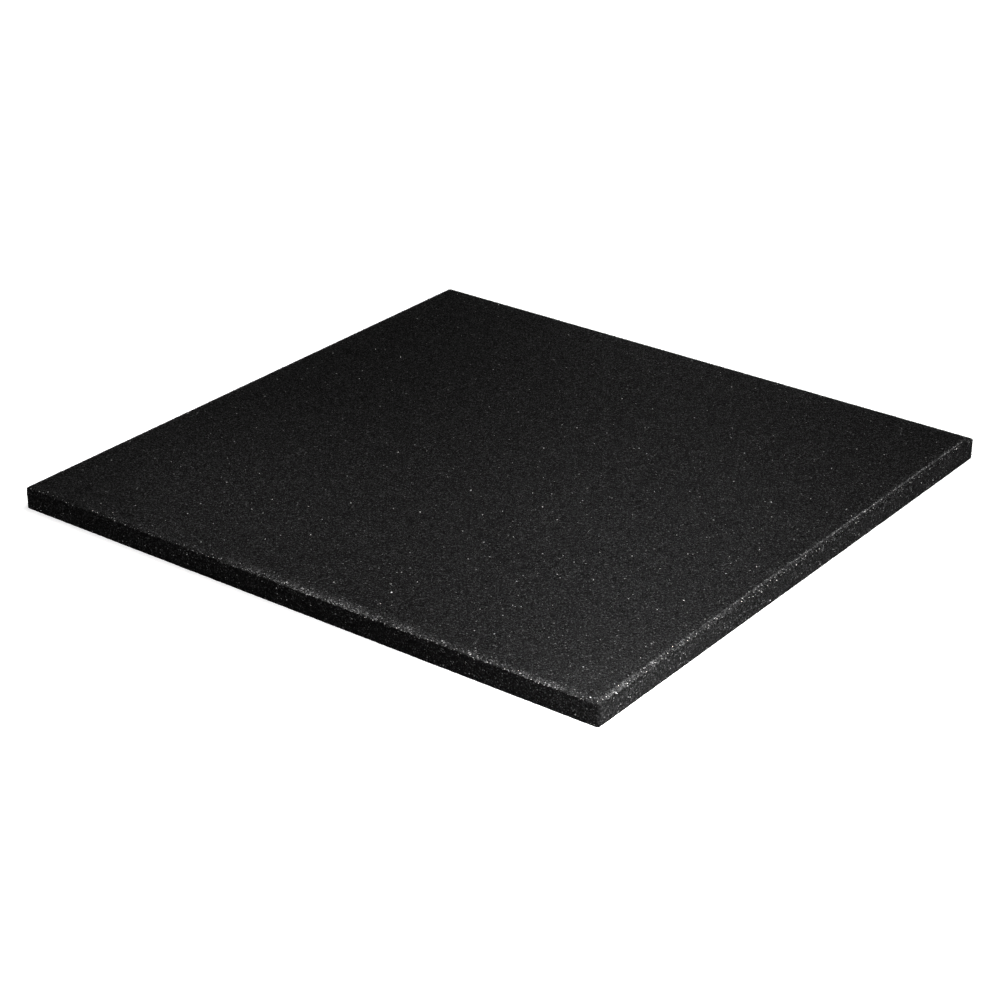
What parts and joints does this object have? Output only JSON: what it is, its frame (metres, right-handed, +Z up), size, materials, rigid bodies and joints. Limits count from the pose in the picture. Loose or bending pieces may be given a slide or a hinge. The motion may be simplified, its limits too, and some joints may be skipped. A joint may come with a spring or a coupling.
{
  "type": "rubber gym floor tile",
  "caption": "Square slab of bonded black rubber crumb with bevelled top edges, laid flat and butted to its neighbours as impact-absorbing gym flooring.",
  "frame": {"origin": "middle of the underside, on the floor that the tile lies on", "axes": "+Z up out of the tread; +X and +Y square to the tile's side walls, which are all alike"},
  "size_m": [1, 1, 0.035],
  "materials": {
    "bonded_rubber_crumb": "matte, fine granules pressed flat and bonded with a thin binder film, sparse pale flecks"
  },
  "bodies": {
    "root": {"rubber_tile": "bonded_rubber_crumb"}
  },
  "joints": []
}
